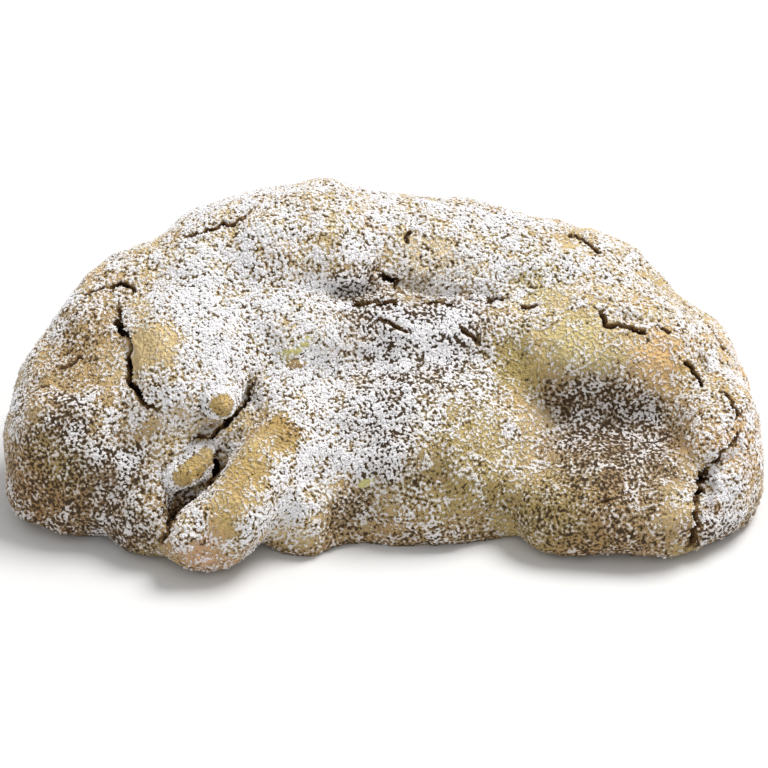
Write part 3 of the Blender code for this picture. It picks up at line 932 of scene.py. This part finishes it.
def scatter(name, seed, count, sizes, sink, density, on_heaps):
    """Many grains on the skin as one mesh. Sizes are radii in mm."""
    rng = np.random.default_rng(seed)
    offered = OFFERED * count if on_heaps else count
    where, up, amount, tone = places_on(skin.data, rng, offered, density)
    if on_heaps:
        kept = np.nonzero(above_level(heaps_at(where), amount[:, 0]) > KEPT_OVER)[0][:count]
        where, up, tone = where[kept], up[kept], tone[kept]
    count = len(where)
    verts, faces = rough_grain()
    radius = rng.uniform(*sizes, count) * MM
    stretch = rng.uniform(*STRETCH, (count, 3))
    turned = np.einsum("nij,nkj->nki", random_turns(rng, count), verts[None] * stretch[:, None])
    placed = turned * radius[:, None, None] + (where + up * (radius * (1 - sink))[:, None])[:, None]
    placed[:, :, 2] = np.maximum(placed[:, :, 2], 0.0)
    all_faces = faces[None] + (np.arange(count) * len(verts))[:, None, None]
    mesh = bpy.data.meshes.new(name)
    mesh.from_pydata(placed.reshape(-1, 3), [], all_faces.reshape(-1, 3))
    tone = np.repeat(np.c_[tone, np.ones(count)], len(verts), axis=0)
    keep(mesh, "sugar_tone", tone, "FLOAT_COLOR")
    obj = bpy.data.objects.new(name, mesh)
    bpy.context.scene.collection.objects.link(obj)
    print(name + ":", count, "grains,", count * len(faces), "triangles")
    return obj


def finish_piece(obj, material):
    obj.data.materials.append(material)
    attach(obj, BODY)


# %% Sugar grains of four sizes


def icing_sugar():
    material, g, shader, _ = new_material("icing_sugar")
    g.feed(shader.inputs["Base Color"], g.attribute("sugar_tone", 0))
    shader.inputs["Roughness"].default_value = 0.9
    shader.inputs["Specular IOR Level"].default_value = 0.2
    return material


above = ease(0.2 * MM, 1.2 * MM, points_and_normals(skin.data)[0][:, 2])
thick = np.clip(sugar, 0.0, 1.0) * above
anywhere = (0.35 + np.clip(sugar, 0.0, 1.0)) * above
powder_sugar = icing_sugar()
GRAINS = [  # name, seed, how many, radii in mm, how deep they sink, where, and whether only on heaps
    ("sugar_powder", 11, 12000, (0.055, 0.085), 0.35, thick, True),
    ("sugar_grains", 12, 22000, (0.080, 0.120), 0.55, thick, True),
    ("sugar_clumps", 13, 9000, (0.11, 0.155), 0.65, thick, True),
    ("stray_sugar", 14, 3500, (0.055, 0.09), 0.35, anywhere, False),
]
for name, seed, count, sizes, sink, density, on_heaps in GRAINS:
    finish_piece(scatter(name, seed, count, sizes, sink, density, on_heaps), powder_sugar)

# %% [markdown]
# ## Bits of pistachio
#
# A few crumbs of the nut show through the sugar, pale green or brown, as small lumps sunk in the skin.
# Each is a ball of 80 faces, pulled long between its two ends and roughened by noise. The heaps of sugar
# run on over them, as they were there before the sugar was.

# %% Nut bits
NUT_ROUGH = 0.7  # how much a bit's surface rises and falls, of its radius
NUT_GRAIN = 0.45  # length of a rise, mm
NUT_FLAT = 0.7  # its height, of its width
PALE_GREEN = (0.56, 0.51, 0.20)
NUT_BROWN = (0.33, 0.22, 0.09)
NUT_BITS = [  # two ends and a radius in mm, how deep it sinks, and its colour
    ((-8.8, -4.0, 14.0), (-7.6, -3.8, 14.3), 0.62, 0.62, PALE_GREEN),
    ((-7.4, -3.4, 14.6), (-6.6, -3.2, 14.7), 0.60, 0.62, PALE_GREEN),
    ((-8.8, -4.9, 13.0), (-7.6, -4.7, 13.5), 0.52, 0.65, NUT_BROWN),
    ((-2.3, -12.6, 5.6), (-0.6, -12.5, 6.5), 0.40, 0.65, PALE_GREEN),
    ((4.4, -12.9, 6.5), (5.2, -12.9, 6.5), 0.45, 0.75, NUT_BROWN),
    ((5.2, -13.6, 4.8), (5.9, -13.6, 4.8), 1.10, 1.10, OLIVE),
    ((13.0, 15.0, 9.0), (14.0, 15.0, 9.6), 0.50, 0.80, PALE_GREEN),
    ((-8.0, 17.0, 9.0), (-7.4, 17.0, 9.4), 0.60, 0.80, PALE_GREEN),
    ((24.0, 9.0, 10.0), (24.5, 9.0, 10.8), 0.45, 0.80, NUT_BROWN),
]


def nut_bits():
    bm = bmesh.new()
    tones = []
    tree = tree_of(skin.data)
    for start, end, radius, sink, tone in NUT_BITS:
        start, end = Vector(start) * MM, Vector(end) * MM
        centre, up = tree.find_nearest((start + end) / 2)[:2]
        along = (end - start).normalized()
        side = up.cross(along).normalized()
        made = bmesh.ops.create_icosphere(bm, subdivisions=2, radius=radius * MM)["verts"]
        for v in made:
            rough = 1.0 + NUT_ROUGH * noise.noise(v.co / (NUT_GRAIN * MM) + start / MM)
            x, y, z = v.co * rough
            x *= 1.0 + (end - start).length / (2 * radius * MM)
            z = (z - sink * radius * MM) * NUT_FLAT
            v.co = centre + along * x + side * y + up * z
        tones += [(*tone, 1.0)] * len(made)
    mesh = bpy.data.meshes.new("nut_bits")
    bm.to_mesh(mesh)
    bm.free()
    keep(mesh, "tone", tones, "FLOAT_COLOR")
    mesh.shade_smooth()
    obj = bpy.data.objects.new("nut_bits", mesh)
    bpy.context.scene.collection.objects.link(obj)
    return obj


def nut_material():
    material, g, shader, place = new_material("pistachio")
    mottle = 0.5 + g.speckle(place, 0.3, 3.0) * 0.9
    nut = g.shade(g.attribute("tone", 0), mottle)
    dust = sugar_heaps(g, place).step(0.55, 0.61)
    g.feed(shader.inputs["Base Color"], g.mix(dust, nut, SUGAR_WHITE))
    shader.inputs["Roughness"].default_value = 0.6
    return material


finish_piece(nut_bits(), nut_material())
print("nut bits:", len(NUT_BITS))

# %% [markdown]
# ## The stage
#
# The cookie lies on a plain white sweep. A wide soft lamp stands behind it to the right and above, as a
# window does, so its top and right edge are bright and a soft shadow falls towards the viewer. The pale
# surroundings open the front.

# %% Floor
FLOOR_SIDE = 3.0  # metres
FLOOR_GREY = 0.74


def plain_floor():
    bm = bmesh.new()
    bmesh.ops.create_grid(bm, x_segments=1, y_segments=1, size=FLOOR_SIDE / 2)
    mesh = bpy.data.meshes.new("floor")
    bm.to_mesh(mesh)
    bm.free()
    obj = bpy.data.objects.new("floor", mesh)
    bpy.context.scene.collection.objects.link(obj)
    material = bpy.data.materials.new("white_sweep")
    material.use_nodes = True
    shader = material.node_tree.nodes["Principled BSDF"]
    shader.inputs["Base Color"].default_value = (FLOOR_GREY, FLOOR_GREY, FLOOR_GREY, 1.0)
    shader.inputs["Roughness"].default_value = 1.0
    shader.inputs["Specular IOR Level"].default_value = 0.0
    mesh.materials.append(material)


plain_floor()

# %% Lamp and surroundings
LAMP_PLACE = (0.36, 0.26, 0.76)  # metres
LAMP_SIZE = 0.45
LAMP_POWER = 7.9
LAMP_COLOUR = (1.0, 0.99, 0.975)
SURROUNDINGS = 0.64  # brightness of the white around it


def aimed(obj, place, target):
    obj.location = place
    obj.rotation_mode = "QUATERNION"
    obj.rotation_quaternion = (Vector(target) - Vector(place)).to_track_quat("-Z", "Y")


lamp = bpy.data.lights.new("window", "AREA")
lamp.shape = "DISK"
lamp.size = LAMP_SIZE
lamp.energy = LAMP_POWER
lamp.color = LAMP_COLOUR
lamp_holder = bpy.data.objects.new("window", lamp)
bpy.context.scene.collection.objects.link(lamp_holder)
aimed(lamp_holder, LAMP_PLACE, (0.0, 0.0, 0.01))

world = bpy.data.worlds.new("studio")
world.use_nodes = True
world.node_tree.nodes["Background"].inputs["Color"].default_value = (1.0, 1.0, 1.0, 1.0)
world.node_tree.nodes["Background"].inputs["Strength"].default_value = SURROUNDINGS
bpy.context.scene.world = world
bpy.context.scene.view_settings.view_transform = "Standard"

# %% Camera
DISTANCE = 0.42  # metres
ELEVATION = math.radians(36.0)
TARGET = Vector((0.0, 0.0, 0.0078))
VIEW_WIDTH = 0.0692  # what the picture spans at the cookie, metres

back = Vector((0.0, -math.cos(ELEVATION), math.sin(ELEVATION)))
camera_data = bpy.data.cameras.new("camera")
camera_data.sensor_width = 36.0
camera_data.lens = DISTANCE * camera_data.sensor_width / VIEW_WIDTH
camera_data.clip_start = 0.01
camera_data.clip_end = 10.0
camera = bpy.data.objects.new("camera", camera_data)
bpy.context.scene.collection.objects.link(camera)
aimed(camera, TARGET + back * DISTANCE, TARGET)
bpy.context.scene.camera = camera
